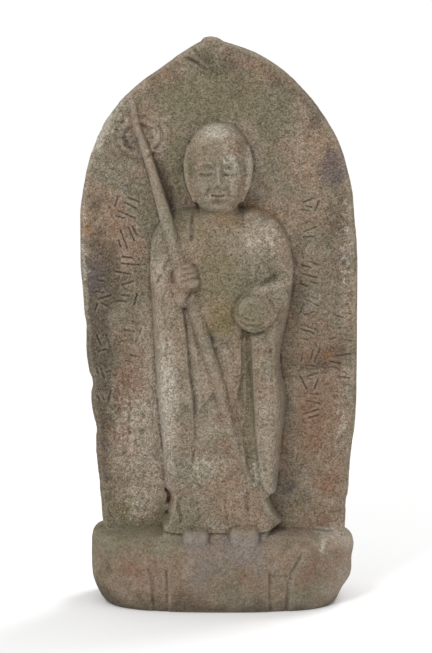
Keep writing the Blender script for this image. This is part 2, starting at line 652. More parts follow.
@dataclass
class LotusBase:
    """The oval base with its worn petals."""

    half_width: float = 155.6
    half_depth: float = 90.0
    middle: float = 55.0
    top: float = 87.0
    below: float = 66.0
    shift: float = 5.0
    squareness: float = 2.7
    groove: float = 4.8
    groove_width: float = 1.5
    fronts: list[list[Point]] = field(default_factory=lambda: [
        [(-77, 0), (-78, 30), (-80, 42), (-86, 52)], [(-61, 0), (-61, 30), (-61.5, 44), (-60, 52)],
        [(60, 0), (60, 30), (59.5, 40), (58, 48)], [(79.5, 0), (81.5, 30), (86, 46), (97, 66)]])
    turns: tuple[float, ...] = (1.35, 2.0, 2.6, -1.35, -2.0, -2.6)

    def build(self) -> bmesh.types.BMesh:
        """Press a ball into the base: crowned, fuller at the sides than in front."""
        cage = bmesh.new()
        bmesh.ops.create_uvsphere(cage, u_segments=420, v_segments=220, radius=1)
        ball = coordinates(cage)
        angle = np.arctan2(ball[:, 0], -ball[:, 1])
        side, front = np.sin(angle), -np.cos(angle)
        # its plan: a squarish oval
        oval = (np.abs(side) ** self.squareness + np.abs(front) ** self.squareness)
        oval = oval ** (-1 / self.squareness)
        # its profile: fuller towards the left and below
        left = np.clip(-side, 0, 1) ** 2
        rising = ball[:, 2] > 0
        fullness = np.where(rising, 2.8 + 1.7 * side ** 2 + 2.5 * left, 8 - 3.4 * side ** 2)
        tilt = np.arctan2(np.abs(ball[:, 2]), np.hypot(ball[:, 0], ball[:, 1]))
        reach = (np.cos(tilt) ** fullness + np.sin(tilt) ** fullness) ** (-1 / fullness)
        out = np.cos(tilt) * reach
        rise = self.top + 3 * left - self.middle
        z = self.middle + np.where(rising, rise, -self.below) * np.sin(tilt) * reach
        x = self.shift + self.half_width * side * oval * out
        y = self.half_depth * front * oval * out
        cut = self.petal_depth(angle, x, z) + self.wear(x, y, z)
        z = np.maximum(z, -LIFT)
        return moved(cage, np.column_stack([x - cut * side, y - cut * front, z]))

    def petal_depth(self, angle: Array, x: Array, z: Array) -> Array:
        """Grooves between the petals: drawn lines in front, plain upright ones round the back."""
        depth = np.zeros(x.shape)
        front = np.abs(angle) < math.pi / 2
        for line in self.fronts:
            top = max(height for _, height in line)
            away = np.where(front, x - Line(line).at_height(z), FAR)
            worn = 0.8 if line[0][0] < 0 else 1.0
            depth += worn * np.exp(-(away / self.groove_width) ** 2) * ramp(top + 3, top - 6, z)
        for turn in self.turns:
            away = (angle - turn) * self.half_depth
            depth += np.exp(-(away / self.groove_width) ** 2) * ramp(68, 56, z)
        left = (x > -78) & (x < -61) & front
        right = (x > 60) & (x < 81) & front
        sunk = 1.2 * np.where(left, ramp(50, 40, z), 0) + 1.6 * np.where(right, ramp(43, 40, z), 0)
        sunk += 2.2 * right * np.exp(-((z - 41) / 1.5) ** 2)
        return self.groove * depth * (0.45 + 0.55 * ramp(0, 20, z)) + sunk

    def wear(self, x: Array, y: Array, z: Array) -> Array:
        """Soft losses: a chipped right corner, a hollow over the middle petal and a small pit."""
        lost = 5.0 * np.exp(-((x - 152) / 8) ** 2 - ((z - 81) / 9) ** 2 - ((y + 30) / 30) ** 2)
        lost += 3.0 * ramp(110, 150, x) * np.exp(-((z - 46) / 13) ** 2)
        lost += 2.0 * np.exp(-((x - 24) / 12) ** 2 - ((z - 58) / 7) ** 2) * (y < 0)
        lost += 2.2 * np.exp(-((x - 31) / 2.6) ** 2 - ((z - 42) / 2.2) ** 2) * (y < 0)
        lost += 10.5 * ramp(100, 150, x) * np.exp(-((z - 12) / 16) ** 2)
        lost += 3.0 * ramp(-115, -150, x) * np.exp(-((z - 10) / 14) ** 2)
        return lost


@dataclass
class Feet:
    """Two worn stubs that run out under the hem."""

    left: tuple[tuple[float, ...], ...] = ((-27, -58, 72.6), (16.5, 26, 20.6))
    right: tuple[tuple[float, ...], ...] = ((29, -59, 73.6), (18, 27, 23.2))
    squareness: float = 4.2

    def build(self) -> bmesh.types.BMesh:
        """Press a ball into each loaf-shaped foot."""
        both = bmesh.new()
        for _ in range(2):
            bmesh.ops.create_uvsphere(both, u_segments=64, v_segments=48, radius=1)
        ball = coordinates(both)
        loaf = np.sign(ball) * np.abs(ball) ** (2 / self.squareness)
        half = len(loaf) // 2
        for part, (middle, size) in ((slice(0, half), self.left), (slice(half, None), self.right)):
            loaf[part] = loaf[part] * size + middle
        return moved(both, loaf)


def coordinates(cage: bmesh.types.BMesh) -> Array:
    """The points of a mesh under construction."""
    return np.array([vert.co for vert in cage.verts])


def moved(cage: bmesh.types.BMesh, places: Array) -> bmesh.types.BMesh:
    """Move every point of a mesh to its place, given in millimetres."""
    for vert, place in zip(cage.verts, ((places + (0, 0, LIFT)) * MM).tolist()):
        vert.co = place
    return cage


def put(name: str, data: bpy.types.ID) -> bpy.types.Object:
    """Put a mesh, lamp or camera into the scene."""
    thing = bpy.data.objects.new(name, data)
    bpy.context.scene.collection.objects.link(thing)
    return thing


def as_object(name: str, cage: bmesh.types.BMesh) -> bpy.types.Object:
    """Turn a finished bmesh into an object in the scene."""
    mesh = bpy.data.meshes.new(name)
    cage.to_mesh(mesh)
    cage.free()
    return put(name, mesh)


def plain_mesh(thing: bpy.types.Object) -> None:
    """Replace an object's mesh by what its modifiers make of it, and drop the modifiers."""
    depsgraph = bpy.context.evaluated_depsgraph_get()
    made = bpy.data.meshes.new_from_object(thing.evaluated_get(depsgraph), depsgraph=depsgraph)
    thing.modifiers.clear()
    thing.data = made


def places_of(mesh: bpy.types.Mesh) -> Array:
    """The mesh's points in millimetres."""
    flat = np.empty(len(mesh.vertices) * 3, np.float32)
    mesh.vertices.foreach_get("co", flat)
    return flat.reshape(-1, 3).astype(float) / MM - (0, 0, LIFT)


def paint(mesh: bpy.types.Mesh, name: str, values: Array) -> None:
    """Store one number for each point of the mesh."""
    layer = mesh.attributes.get(name) or mesh.attributes.new(name, 'FLOAT', 'POINT')
    layer.data.foreach_set("value", np.ascontiguousarray(values, np.float32))


# ------------------------------------------------------------------ node trees

class Signal:
    """What one socket of a node tree gives; its sums, differences and products are nodes too."""

    def __init__(self, sheet: Sheet, socket: bpy.types.NodeSocket) -> None:
        """Take hold of a socket."""
        self.sheet = sheet
        self.socket = socket

    def __add__(self, other: Given) -> Signal:
        """Place a node that adds."""
        return self.sheet.math('ADD', self, other)

    def __sub__(self, other: Given) -> Signal:
        """Place a node that subtracts."""
        return self.sheet.math('SUBTRACT', self, other)

    def __mul__(self, other: Given) -> Signal:
        """Place a node that multiplies."""
        return self.sheet.math('MULTIPLY', self, other)

    def __truediv__(self, other: Given) -> Signal:
        """Place a node that divides."""
        return self.sheet.math('DIVIDE', self, other)


Given = Signal | float | tuple[float, ...]


class Sheet:
    """A node tree being drawn up, for geometry or for a material."""

    def __init__(self, tree: bpy.types.NodeTree) -> None:
        """Start on an empty tree."""
        self.tree = tree
        tree.nodes.clear()

    def add(self, kind: str, inputs: dict[str | int, object] | None = None,
            **settings: object) -> bpy.types.Node:
        """Place a node.

        Args:
            kind: the node's type.
            inputs: for each socket, by name or number, a value or the signal that feeds it.
            settings: the node's own properties.

        Returns:
            the node.
        """
        node = self.tree.nodes.new(kind)
        for name, value in settings.items():
            setattr(node, name, value)
        for socket, value in (inputs or {}).items():
            if isinstance(value, Signal):
                self.tree.links.new(value.socket, node.inputs[socket])
            else:
                node.inputs[socket].default_value = value
        return node

    def several(self, kind: str, inputs: dict[str | int, object], outs: Sequence[str | int],
                **settings: object) -> list[Signal]:
        """Place a node and take several of its outputs, by name or number."""
        node = self.add(kind, inputs, **settings)
        return [Signal(self, node.outputs[out]) for out in outs]

    def get(self, kind: str, inputs: dict[str | int, object] | None = None, out: str | int = 0,
            **settings: object) -> Signal:
        """Place a node and take one of its outputs, the first if none is named."""
        return self.several(kind, inputs or {}, [out], **settings)[0]

    def math(self, operation: str, *values: Given) -> Signal:
        """One operation on numbers."""
        return self.get("ShaderNodeMath", dict(enumerate(values)), operation=operation)

    def vector(self, operation: str, *values: Given, out: str = "Vector") -> Signal:
        """One operation on vectors."""
        return self.get("ShaderNodeVectorMath", dict(enumerate(values)), out, operation=operation)

    def scaled(self, vector: Given, by: Given) -> Signal:
        """A vector times a number."""
        return self.get("ShaderNodeVectorMath", {0: vector, "Scale": by}, operation='SCALE')

    def remap(self, value: Given, low: Given, high: Given, to_low: float = 0.0,
              to_high: float = 1.0) -> Signal:
        """A smooth step from one range of numbers to another."""
        return self.get("ShaderNodeMapRange", {0: value, 1: low, 2: high, 3: to_low, 4: to_high},
                        interpolation_type='SMOOTHSTEP')

    def mix(self, part: Given, first: Given, second: Given, how: str = 'MIX') -> Signal:
        """Two colours mixed."""
        return self.get("ShaderNodeMix", {0: part, 6: first, 7: second}, 2, data_type='RGBA',
                        blend_type=how)

    def noise(self, place: Signal, scale: Given, detail: float, roughness: float,
              seed: Given) -> Signal:
        """Cloudy noise round a half."""
        return self.get("ShaderNodeTexNoise",
                        {"Vector": place, "W": seed, "Scale": scale, "Detail": detail,
                         "Roughness": roughness}, noise_dimensions='4D')

    def cells(self, place: Signal, scale: Given, seed: Given) -> Signal:
        """Distance from scattered spots."""
        return self.get("ShaderNodeTexVoronoi", {"Vector": place, "W": seed, "Scale": scale},
                        "Distance", voronoi_dimensions='4D')

    def attribute(self, name: str) -> Signal:
        """A number stored on the mesh."""
        if self.tree.bl_idname == "GeometryNodeTree":
            return self.get("GeometryNodeInputNamedAttribute", {"Name": name}, data_type='FLOAT')
        return self.get("ShaderNodeAttribute", out="Fac", attribute_name=name)

    def store(self, geometry: Signal, name: str, value: Signal) -> Signal:
        """The geometry with a number stored on each of its points."""
        return self.get("GeometryNodeStoreNamedAttribute",
                        {"Geometry": geometry, "Name": name, "Value": value}, data_type='FLOAT')

    def close(self, results: dict[str | int, object]) -> bpy.types.NodeTree:
        """Lead the results to the group's named outputs and hand over the tree."""
        self.add("NodeGroupOutput", results)
        return self.tree

    def close_dressed(self, geometry: Signal, finish: Signal) -> bpy.types.NodeTree:
        """End a geometry group: everything real, and in its material."""
        plain = self.get("GeometryNodeRealizeInstances", {"Geometry": geometry})
        dressed = self.get("GeometryNodeSetMaterial", {"Geometry": plain, "Material": finish})
        return self.close({"Geometry": dressed})


def open_group(name: str, kind: str, takes: dict[str, str],
               gives: dict[str, str]) -> tuple[Sheet, dict[str, Signal]]:
    """Start a node group with named inputs and outputs.

    Args:
        name: the group's name.
        kind: the tree's type.
        takes: socket type of each named input.
        gives: socket type of each named output.

    Returns:
        the sheet to draw on and the group's inputs by name.
    """
    tree = bpy.data.node_groups.new(name, kind)
    for way, sockets in (('INPUT', takes), ('OUTPUT', gives)):
        for socket, typed in sockets.items():
            tree.interface.new_socket(socket, in_out=way, socket_type="NodeSocket" + typed)
    sheet = Sheet(tree)
    return sheet, dict(zip(takes, sheet.several("NodeGroupInput", {}, list(takes))))


def run_tree(thing: bpy.types.Object, tree: bpy.types.NodeTree,
             values: dict[str, object]) -> None:
    """Run a geometry tree on an object and keep the result as its plain mesh.

    Args:
        thing: the object to work on.
        tree: the geometry node tree.
        values: a value for each of the tree's named inputs.
    """
    work = thing.modifiers.new(tree.name, 'NODES')
    work.node_group = tree
    for item in tree.interface.items_tree:
        if item.item_type == 'SOCKET' and item.in_out == 'INPUT' and item.name in values:
            work[item.identifier] = values[item.name]
    plain_mesh(thing)


# ------------------------------------------------------------------ inscription and weather

@dataclass(frozen=True)
class Stroke:
    """One cut: its middle, its length and turn, and how worn it is."""

    x: float
    z: float
    length: float
    turn: float
    wear: float


@dataclass
class Inscription:
    """Columns of short strokes beside the figure. They are no letters: each place gets a few
    slanting cuts that never meet."""

    left_outer: float = -135.0
    left_inner: float = -106.0
    right_inner: float = 106.0
    right_outer: float = 142.0
    width: float = 1.9
    depth: float = 2.0
    gap: float = 4.8
    tries: int = 40
    parts: tuple[float, ...] = (0.8, 0.6, 0.5, 0.42, 0.36)
    leans: tuple[float, ...] = (-22, -12, 9, 14, 24, 68, -72)
    seed: int = 11

    def places(self) -> list[tuple[float, float, float, float, float]]:
        """Middle, half width, top, foot and wear of each place that carries strokes."""
        columns = (
            (self.left_outer, 10.0, 0.5, ((391, 378), (369, 342), (317, 296), (278, 265),
                                          (251, 235))),
            (self.left_inner, 14.5, 0.0, ((479, 452), (444, 417), (410, 373), (364, 352))),
            (self.left_inner + 4, 12.0, 0.6, ((333, 306), (297, 284))),
            (self.right_inner, 12.0, 0.35, ((479, 461), (452, 430), (404, 373), (364, 338),
                                            (329, 308), (301, 279), (272, 246), (242, 218))),
            (self.right_outer, 12.5, 0.45, ((347, 335), (326, 308), (298, 264))))
        return [(x, wide, top, foot, wear) for x, wide, wear, cells in columns
                for top, foot in cells]

    def lay_out(self) -> list[Stroke]:
        """Scatter a few cuts over each place, the longest first, so that none meets another."""
        chance = random.Random(self.seed)
        strokes: list[Stroke] = []
        for middle, wide, top, foot, wear in self.places():
            taken: list[Point] = []
            tall = (top - foot) / 2
            for part in self.parts[:2 + round(tall / 5)]:
                for _ in range(self.tries):
                    room = min(wide, max(tall, 0.6 * wide))
                    length = 2 * part * room * chance.uniform(0.85, 1.1)
                    turn = math.radians(chance.choice(self.leans) + chance.uniform(-6, 6))
                    dx, dz = length / 2 * math.cos(turn), -length / 2 * math.sin(turn)
                    x = chance.uniform(-1, 1) * max(0.0, wide - abs(dx))
                    z = chance.uniform(-1, 1) * max(0.0, tall - abs(dz))
                    spots = [(x + t * dx, z + t * dz) for t in (-1, -0.5, 0, 0.5, 1)]
                    if all(math.dist(spot, other) > self.gap for spot in spots for other in taken):
                        taken += spots
                        strokes.append(Stroke(middle + x, (top + foot) / 2 + z, length, turn,
                                              max(0.0, wear + chance.uniform(-0.2, 0.4))))
                        break
        return strokes

    def build(self) -> bpy.types.Object:
        """Let Geometry Nodes draw the strokes as lines in the plane y = 0; a worn one lies off it
        and so cuts less deep.

        Returns:
            an object of loose edges, to be cut into the slab.
        """
        strokes = self.lay_out()
        mesh = bpy.data.meshes.new("stroke_places")
        mesh.from_pydata([(cut.x * MM, cut.wear * MM, (cut.z + LIFT) * MM) for cut in strokes],
                         [], [])
        paint(mesh, "length", np.array([cut.length * MM for cut in strokes]))
        paint(mesh, "turn", np.array([cut.turn for cut in strokes]))
        thing = put("strokes", mesh)
        run_tree(thing, self.tree(), {})
        return thing

    @staticmethod
    def tree() -> bpy.types.NodeTree:
        """Lay a line of its own length and turn on each point."""
        sheet, given = open_group("lay_strokes", "GeometryNodeTree",
                                  {"Geometry": "Geometry", "Finish": "Material"},
                                  {"Geometry": "Geometry"})
        line = sheet.get("GeometryNodeMeshLine", {"Count": 2, "Start Location": (-0.5, 0, 0),
                                                  "Offset": (1, 0, 0)}, mode='OFFSET')
        turn = sheet.get("ShaderNodeCombineXYZ", {"Y": sheet.attribute("turn")})
        size = sheet.get("ShaderNodeCombineXYZ",
                         {"X": sheet.attribute("length"), "Y": 1.0, "Z": 1.0})
        laid = sheet.get("GeometryNodeInstanceOnPoints", {
            "Points": given["Geometry"], "Instance": line, "Rotation": turn, "Scale": size})
        return sheet.close_dressed(laid, given["Finish"])


@dataclass
class Weather:
    """What rain and frost did: a wavy skin, pits, flaked patches, and a record of the hollows."""

    wave: float = 0.8
    wave_scale: float = 16.0
    ripple: float = 0.42
    ripple_scale: float = 75.0
    pit: float = 0.55
    pit_scale: float = 150.0
    flake: float = 1.6
    flake_scale: float = 34.0
    shake: float = 0.0016
    shake_scale: float = 180.0
    ragged_scale: float = 260.0
    hollows: dict[str, int] = field(default_factory=lambda: {
        "recess_fine": 7, "recess_broad": 110})
    seed: int = 5

    def wear(self, block: bpy.types.Object, strokes: bpy.types.Object,
             inscription: Inscription, finish: bpy.types.Material) -> None:
        """Engrave and weather the block.

        Args:
            block: the carved stone, with its slab and flaking attributes.
            strokes: the edges to engrave.
            inscription: the width and depth of the cuts.
            finish: the stone's material.
        """
        run_tree(block, self.tree(), {
            "Strokes": strokes, "Stroke Width": inscription.width * MM,
            "Stroke Depth": inscription.depth * MM, "Wave": self.wave * MM,
            "Ripple": self.ripple * MM, "Pit": self.pit * MM, "Flake": self.flake * MM,
            "Seed": float(self.seed), "Finish": finish})

    def tree(self) -> bpy.types.NodeTree:
        """Cut the strokes, displace the skin and store how deep each point lies in a hollow."""
        takes = {"Geometry": "Geometry", "Strokes": "Object", "Stroke Width": "Float",
                 "Stroke Depth": "Float", "Wave": "Float", "Ripple": "Float", "Pit": "Float",
                 "Flake": "Float", "Seed": "Float", "Finish": "Material"}
        sheet, given = open_group("weather", "GeometryNodeTree", takes, {"Geometry": "Geometry"})
        place = sheet.get("GeometryNodeInputPosition")
        normal = sheet.get("GeometryNodeInputNormal")
        seed = given["Seed"]

        strokes = sheet.get("GeometryNodeObjectInfo", {"Object": given["Strokes"]}, "Geometry")
        ragged = sheet.noise(place, self.ragged_scale, 2.0, 0.5, seed)
        shake = sheet.get("ShaderNodeTexNoise", {"Vector": place, "Scale": self.shake_scale},
                          "Color")
        shake = sheet.scaled(sheet.vector('SUBTRACT', shake, (0.5, 0.5, 0.5)), self.shake)
        flat = sheet.vector('MULTIPLY', sheet.vector('ADD', place, shake), (1, 0, 1))
        away = sheet.get("GeometryNodeProximity", {0: strokes, "Sample Position": flat},
                         "Distance", target_element='EDGES')
        cut = sheet.remap(away, 0.0, given["Stroke Width"] * 0.85, 1.0, 0.0)
        cut = cut * sheet.attribute("slab") * sheet.remap(ragged, 0.3, 0.6, 0.7, 1.0)
        cut = cut * given["Stroke Depth"]

        wave = sheet.noise(place, self.wave_scale, 2.0, 0.5, seed) - 0.5
        ripple = sheet.noise(place, self.ripple_scale, 3.0, 0.6, seed) - 0.5
        pits = sheet.remap(sheet.cells(place, self.pit_scale, seed), 0.32, 0.05)
        pits = pits * sheet.remap(sheet.noise(place, 60.0, 2.0, 0.5, seed), 0.46, 0.62)
        flakes = sheet.noise(place, self.flake_scale, 5.0, 0.62, seed) - 0.5
        flakes = sheet.remap(flakes, -0.03, 0.05, -0.5, 0.5) * sheet.attribute("flaking")
        front = sheet.remap(sheet.get("ShaderNodeSeparateXYZ", {0: normal}, "Y"), 0.75, 0.25)
        fine = (ripple * (given["Ripple"] * 3.0) - pits * given["Pit"]) * front
        out = wave * (given["Wave"] * 3.0) + fine + flakes * given["Flake"]
        offset = sheet.vector('ADD', sheet.scaled(normal, out * sheet.attribute("wear")),
                              sheet.get("ShaderNodeCombineXYZ", {"Y": cut}))
        worn = sheet.get("GeometryNodeSetPosition",
                         {"Geometry": given["Geometry"], "Offset": offset})

        stone = sheet.store(worn, "engraved", cut / given["Stroke Depth"])
        for name, steps in self.hollows.items():
            soft = sheet.get("GeometryNodeBlurAttribute", {0: place, "Iterations": steps},
                             data_type='FLOAT_VECTOR')
            hollow = sheet.vector('DOT_PRODUCT', sheet.vector('SUBTRACT', soft, place), normal,
                                  out="Value")
            stone = sheet.store(stone, name, hollow / MM)
        return sheet.close_dressed(stone, given["Finish"])


# ------------------------------------------------------------------ stains and the stone's finish

class Growth(Enum):
    """What colours the stone, in the order in which it covers it."""

    PALE = "pale"
    MOSS = "moss"
    DARK = "dark"
    RED = "red"
    OLIVE = "olive"
    ORANGE = "orange"
    PURPLE = "purple"
    ASH = "ash"
    LICHEN = "lichen"


@dataclass(frozen=True)
class Patch:
    """A soft oval of growth on the front."""

    x: float
    z: float
    wide: float
    high: float
    strength: float = 1.0
    turn: float = 0.0


def spread(*rows: tuple[float, ...]) -> list[Patch]:
    """Patches from their numbers, in the order of Patch's fields."""
    return [Patch(*row) for row in rows]


@dataclass
class StainMap:
    """Where each growth sits."""

    patches: dict[Growth, list[Patch]] = field(default_factory=lambda: {
        Growth.PALE: spread(
            (-2, 554, 36, 20, 0.7), (40, 500, 14, 60, 0.6), (48, 430, 32, 34, 0.45),
            (84, 400, 5, 50, 0.5), (54, 376, 34, 5, 0.9, 14), (-70, 400, 14, 40, 0.3),
            (-62, 270, 15, 110, 0.6), (57, 230, 15, 90, 0.4), (-15, 230, 34, 90, 0.5),
            (-96, 200, 30, 66, 0.45), (-88, 290, 16, 60, 0.8), (-79, 128, 16, 34, 0.9),
            (66, 130, 22, 26, 0.4), (-80, 548, 22, 30, 0.55), (-8, 646, 16, 14, 0.5),
            (0, 82, 150, 10, 0.5), (142, 46, 26, 44, 0.8)),
        Growth.MOSS: spread(
            (4, 592, 76, 34, 1.0), (-46, 518, 20, 60, 0.75), (58, 540, 26, 46, 0.5),
            (-4, 388, 36, 62, 0.75), (41, 345, 26, 26, 0.4), (34, 250, 11, 90, 0.9),
            (-90, 470, 16, 40, 0.4), (-10, 648, 24, 18, 0.6), (-50, 106, 26, 24, 0.5),
            (-104, 84, 60, 26, 0.6)),
        Growth.DARK: spread(
            (-142, 270, 21, 195, 0.95), (-120, 384, 22, 34, 0.5), (124, 290, 30, 26, 0.7),
            (0, 626, 110, 44, 0.45), (106, 592, 28, 32, 0.6), (52, 384, 26, 12, 0.45),
            (-108, 548, 22, 28, 0.55), (-6, -4, 170, 18, 0.8), (-96, 22, 60, 22, 0.35),
            (142, 440, 18, 70, 0.6), (100, 150, 16, 50, 0.3), (-34, 350, 12, 28, 0.5),
            (-57, 484, 6, 32, 0.8, 15)),
        Growth.RED: spread(
            (120, 235, 34, 130, 0.55), (-102, 245, 26, 105, 0.6), (-118, 450, 28, 40, 0.4),
            (-66, 622, 36, 12, 0.4, 33), (38, 630, 36, 14, 0.32, -26), (-88, 570, 30, 24, 0.4),
            (22, 535, 12, 14, 0.8), (-1, 474, 22, 12, 0.4), (-38, 385, 14, 20, 0.4),
            (10, 200, 12, 60, 0.4, 12), (-108, 50, 40, 24, 0.45), (112, 46, 46, 26, 0.45),
            (22, 44, 22, 14, 0.4)),
        Growth.OLIVE: spread(
            (2, 334, 30, 26, 0.7), (-6, 400, 26, 14, 0.35), (0, 446, 52, 26, 0.35),
            (-104, 112, 42, 20, 0.45), (96, 112, 30, 14, 0.35)),
        Growth.ORANGE: spread(
            (46, 464, 20, 5, 0.6, -18), (68, 451, 14, 4, 0.45, -40), (0, 457, 14, 4, 0.4),
            (-152, 445, 8, 14, 0.5), (128, 292, 9, 7, 0.35)),
        Growth.PURPLE: spread(
            (-142, 388, 16, 26, 0.6), (134, 506, 15, 26, 0.9), (-100, 508, 26, 26, 0.4),
            (-138, 180, 14, 30, 0.5), (82, 140, 10, 20, 0.4)),
        Growth.ASH: spread(
            (29, 80, 18, 14, 0.9), (-27, 78, 16, 11, 0.6), (18, 64, 46, 20, 0.65),
            (-62, 230, 12, 60, 0.4), (0, 36, 110, 26, 0.25)),
        Growth.LICHEN: spread(
            (-5, 555, 14, 9, 0.85), (14, 514, 12, 32, 0.55), (54, 432, 26, 28, 0.38),
            (-61, 250, 11, 95, 0.55), (-98, 205, 28, 60, 0.5), (-18, 166, 34, 20, 0.4),
            (-134, 552, 7, 42, 0.75, -28), (-108, 552, 16, 22, 0.35), (-156, 380, 6, 110, 0.4),
            (148, 420, 10, 90, 0.38), (-100, 118, 14, 22, 0.5), (144, 220, 10, 50, 0.35),
            (42, 158, 8, 16, 0.5), (130, 83, 18, 3.5, 1.1, -10), (121, 73, 2.5, 9, 1.1, -16))})
    flaking: list[Patch] = field(default_factory=lambda: spread(
        (-104, 210, 34, 90, 1.0), (-66, 210, 12, 60, 0.6), (-100, 120, 36, 24, 0.7),
        (0, 635, 60, 24, 0.4), (-15, 165, 40, 24, 0.5), (-120, 545, 24, 40, 0.6)))

    @staticmethod
    def amount(patches: Sequence[Patch], places: Array) -> Array:
        """How strongly a set of patches covers each place; the back keeps a weaker echo."""
        x, y, z = places.T
        total = np.zeros(len(places))
        for patch in patches:
            cos, sin = math.cos(math.radians(patch.turn)), math.sin(math.radians(patch.turn))
            across = ((x - patch.x) * cos + (z - patch.z) * sin) / patch.wide
            up = ((z - patch.z) * cos - (x - patch.x) * sin) / patch.high
            total += patch.strength * np.exp(-(across ** 2 + up ** 2))
        return np.clip(total, 0, 1.2) * (1 - 0.5 * ramp(0, 30, y))

    def paint(self, mesh: bpy.types.Mesh) -> None:
        """Store each growth on the mesh's points."""
        places = places_of(mesh)
        for growth, patches in self.patches.items():
            paint(mesh, growth.value, self.amount(patches, places))


def srgb(red: int, green: int, blue: int) -> tuple[float, float, float, float]:
    """A display colour as the linear colour that a shader wants."""
    def linear(part: float) -> float:
        """One channel."""
        return part / 12.92 if part <= 0.04045 else ((part + 0.055) / 1.055) ** 2.4
    return linear(red / 255), linear(green / 255), linear(blue / 255), 1.0


@dataclass(frozen=True)
class Stain:
    """How one growth looks: its colour, the size of its ragged edge and how well it covers."""

    colour: tuple[int, int, int]
    grain: float
    cover: float
    seed: float


@dataclass(frozen=True)
class WeatheredStone:
    """Coarse volcanic stone with growths, dark hollows and rubbed edges."""

    name: str = "weathered_stone"
    warm: tuple[int, int, int] = (125, 107, 89)
    cool: tuple[int, int, int] = (113, 105, 88)
    light: tuple[int, int, int] = (141, 128, 114)
    hollow: tuple[int, int, int] = (48, 38, 27)
    rubbed: tuple[int, int, int] = (156, 146, 131)
    contrast: float = 1.25
    mottle: float = 0.11
    roughness: float = 0.92
    gloss: float = 0.3
    bump: float = 0.85
    bump_depth: float = 0.0011
    grains: float = 600.0
    sand: float = 900.0
    stains: dict[Growth, Stain] = field(default_factory=lambda: {
        Growth.PALE: Stain((146, 134, 118), 26, 0.7, 1.0),
        Growth.MOSS: Stain((103, 98, 75), 34, 0.65, 2.0),
        Growth.DARK: Stain((68, 60, 48), 30, 0.7, 3.0),
        Growth.RED: Stain((118, 86, 68), 28, 0.65, 4.0),
        Growth.OLIVE: Stain((106, 94, 56), 40, 0.65, 5.0),
        Growth.ORANGE: Stain((128, 94, 58), 60, 0.65, 6.0),
        Growth.PURPLE: Stain((80, 70, 70), 45, 0.7, 8.0),
        Growth.ASH: Stain((116, 108, 103), 30, 0.7, 9.0),
        Growth.LICHEN: Stain((172, 166, 152), 190, 0.6, 7.0)})

    @staticmethod
    def stain_group() -> bpy.types.NodeTree:
        """A growth over the stone, its edge broken up by noise."""
        takes = {"Under": "Color", "Colour": "Color", "Amount": "Float", "Place": "Vector",
                 "Grain": "Float", "Cover": "Float", "Seed": "Float"}
        sheet, given = open_group("stain", "ShaderNodeTree", takes, {"Colour": "Color"})
        cloud = sheet.noise(given["Place"], given["Grain"], 6.0, 0.65, given["Seed"])
        edge = given["Amount"] + (cloud - 0.5) * 2.2
        part = sheet.remap(edge, 0.15, 0.75) * given["Cover"]
        part = part * sheet.remap(given["Amount"], 0.0, 0.12)
        return sheet.close({"Colour": sheet.mix(part, given["Under"], given["Colour"])})

    @staticmethod
    def grain_group() -> bpy.types.NodeTree:
        """The stone's grains: how light each is, whether it is warm or cool, and its height."""
        sheet, given = open_group("stone_grain", "ShaderNodeTree",
                                  {"Place": "Vector", "Grains": "Float", "Sand": "Float"},
                                  {"Shade": "Float", "Warmth": "Float", "Height": "Float"})
        place = given["Place"]
        colour, distance = sheet.several(
            "ShaderNodeTexVoronoi", {"Vector": place, "Scale": given["Grains"]},
            ("Color", "Distance"))
        sand = sheet.get("ShaderNodeTexVoronoi", {"Vector": place, "Scale": given["Sand"]},
                         "Color")
        tone, warmth = sheet.several("ShaderNodeSeparateColor", {0: colour}, (0, 1))
        small = sheet.get("ShaderNodeSeparateColor", {0: sand})
        cloud = sheet.noise(place, 260.0, 2.0, 0.5, 3.0)
        holes = sheet.remap(sheet.cells(place, 280.0, 2.0), 0.26, 0.1)
        holes = holes * sheet.remap(cloud, 0.5, 0.6)
        shade = tone * 0.5 + small * 0.5 + cloud * 0.2 - holes * 0.35
        height = tone * 0.45 + cloud * 0.8 - distance * 0.8 - holes
        return sheet.close({"Shade": shade, "Warmth": warmth, "Height": height})

    def bare(self, sheet: Sheet, place: Signal) -> Signal:
        """The bare stone: warm and cool clouds, paler ones and a fine mottle."""
        warm = sheet.noise(place, 17.0, 4.0, 0.6, 1.0)
        colour = sheet.mix(sheet.remap(warm, 0.38, 0.62), srgb(*self.cool), srgb(*self.warm))
        pale = sheet.noise(place, 38.0, 5.0, 0.65, 6.0)
        colour = sheet.mix(sheet.remap(pale, 0.5, 0.68) * 0.5, colour, srgb(*self.light))
        mottle = sheet.noise(place, 105.0, 3.0, 0.6, 12.0)
        return sheet.scaled(colour, sheet.remap(mottle, 0.3, 0.7, 1.0 - self.mottle,
                                                1.0 + self.mottle))

    def stained(self, sheet: Sheet, place: Signal, colour: Signal) -> Signal:
        """Lay each growth over the colour, in the order of Growth."""
        stain = self.stain_group()
        for growth in Growth:
            look = self.stains[growth]
            colour = sheet.get("ShaderNodeGroup", {
                "Under": colour, "Colour": srgb(*look.colour), "Place": place,
                "Amount": sheet.attribute(growth.value), "Grain": look.grain,
                "Cover": look.cover, "Seed": look.seed}, "Colour", node_tree=stain)
        return colour

    def grained(self, sheet: Sheet, colour: Signal, shade: Signal, warmth: Signal) -> Signal:
        """Make each grain lighter or darker, and warmer or cooler.

        Args:
            sheet: the material's tree.
            colour: what the grains tint.
            shade: how light each grain is.
            warmth: how warm each grain is.

        Returns:
            the tinted colour.
        """
        shade = (shade - 0.6) * (sheet.attribute("coarse") * self.contrast) + 1.0
        turned = (warmth - 0.5) * 0.05
        tint = sheet.get("ShaderNodeCombineColor", {
            0: shade + turned, 1: sheet.math('POWER', shade, 1.08),
            2: sheet.math('POWER', shade, 1.3) - turned})
        return sheet.mix(1.0, colour, tint, 'MULTIPLY')

